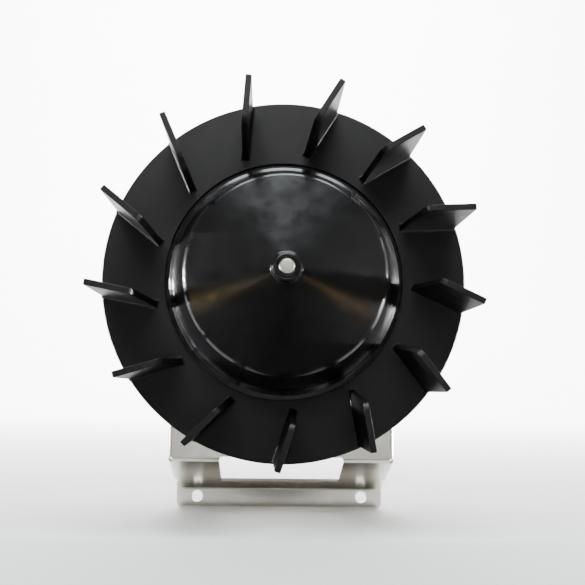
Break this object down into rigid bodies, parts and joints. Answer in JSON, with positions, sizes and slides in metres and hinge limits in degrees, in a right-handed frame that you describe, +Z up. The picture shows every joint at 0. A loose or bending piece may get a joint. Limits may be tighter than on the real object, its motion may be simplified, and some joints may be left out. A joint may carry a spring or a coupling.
{
  "type": "blower motor wheel",
  "caption": "Black radial blower wheel with straight swept paddle blades and a glossy hub dome over its motor, on a folded bright steel bracket with a two-hole flange.",
  "frame": {"origin": "middle of the bracket's fixing flange on its rear face, level with its two fixing holes", "axes": "+Z up, the wheel faces -Y and its axis runs along Y, +X to the right seen from the front"},
  "size_m": [0.165, 0.1055, 0.1912],
  "materials": {
    "satin_black_plastic": "satin moulded black plastic",
    "gloss_black_plastic": "polished black plastic",
    "bright_steel": "bright folded sheet steel, faint rolling grain",
    "shaft_steel": "turned steel, satin",
    "spring_steel": "dark spring steel",
    "nylon": "natural nylon",
    "copper": "enamelled copper",
    "core_steel": "electrical steel laminations",
    "cast_aluminium": "die cast",
    "bronze": "oil-filled sintered bronze",
    "felt": "oiled felt",
    "rubber": "black rubber",
    "brass": "stamped brass",
    "zinc_steel": "zinc-plated steel"
  },
  "bodies": {
    "motor_and_bracket": {"coil_bobbin_1": "nylon", "coil_bobbin_2": "nylon", "coil_bobbin_3": "nylon", "coil_bobbin_4": "nylon", "field_coil_1": "copper", "field_coil_2": "copper", "field_coil_3": "copper", "field_coil_4": "copper", "front_bearing": "bronze", "front_bearing_retainer": "spring_steel", "front_end_shell": "zinc_steel", "front_oil_felt": "felt", "left_terminal_tab": "brass", "motor_bracket": "bright_steel", "mount_grommet_1": "rubber", "mount_grommet_2": "rubber", "mount_grommet_3": "rubber", "mount_nut_1": "zinc_steel", "mount_nut_2": "zinc_steel", "mount_nut_3": "zinc_steel", "mount_screw_1": "zinc_steel", "mount_screw_2": "zinc_steel", "mount_screw_3": "zinc_steel", "mount_sleeve_1": "zinc_steel", "mount_sleeve_2": "zinc_steel", "mount_sleeve_3": "zinc_steel", "mount_washer_1": "zinc_steel", "mount_washer_2": "zinc_steel", "mount_washer_3": "zinc_steel", "rear_bearing": "bronze", "rear_bearing_retainer": "spring_steel", "rear_end_shell": "zinc_steel", "rear_oil_felt": "felt", "right_terminal_tab": "brass", "shading_ring_1": "copper", "shading_ring_2": "copper", "shading_ring_3": "copper", "shading_ring_4": "copper", "stator_core": "core_steel", "terminal_block": "nylon", "terminal_screw": "zinc_steel", "through_bolt_1": "zinc_steel", "through_bolt_2": "zinc_steel", "through_bolt_3": "zinc_steel", "through_bolt_4": "zinc_steel", "through_bolt_nut_1": "zinc_steel", "through_bolt_nut_2": "zinc_steel", "through_bolt_nut_3": "zinc_steel", "through_bolt_nut_4": "zinc_steel"},
    "wheel": {"blade_wheel": "satin_black_plastic", "hub_dome": "gloss_black_plastic", "hub_clip": "spring_steel", "motor_shaft": "shaft_steel", "rotor_core": "core_steel", "front_end_ring": "cast_aluminium", "rear_end_ring": "cast_aluminium", "front_spacer": "zinc_steel", "rear_spacer": "zinc_steel"}
  },
  "joints": [
    {"name": "wheel_spin", "type": "hinge", "parent": "motor_and_bracket", "child": "wheel", "pos_m": [0, -0.0561, 0.1026], "axis": [0, -1, 0], "continuous": true}
  ]
}
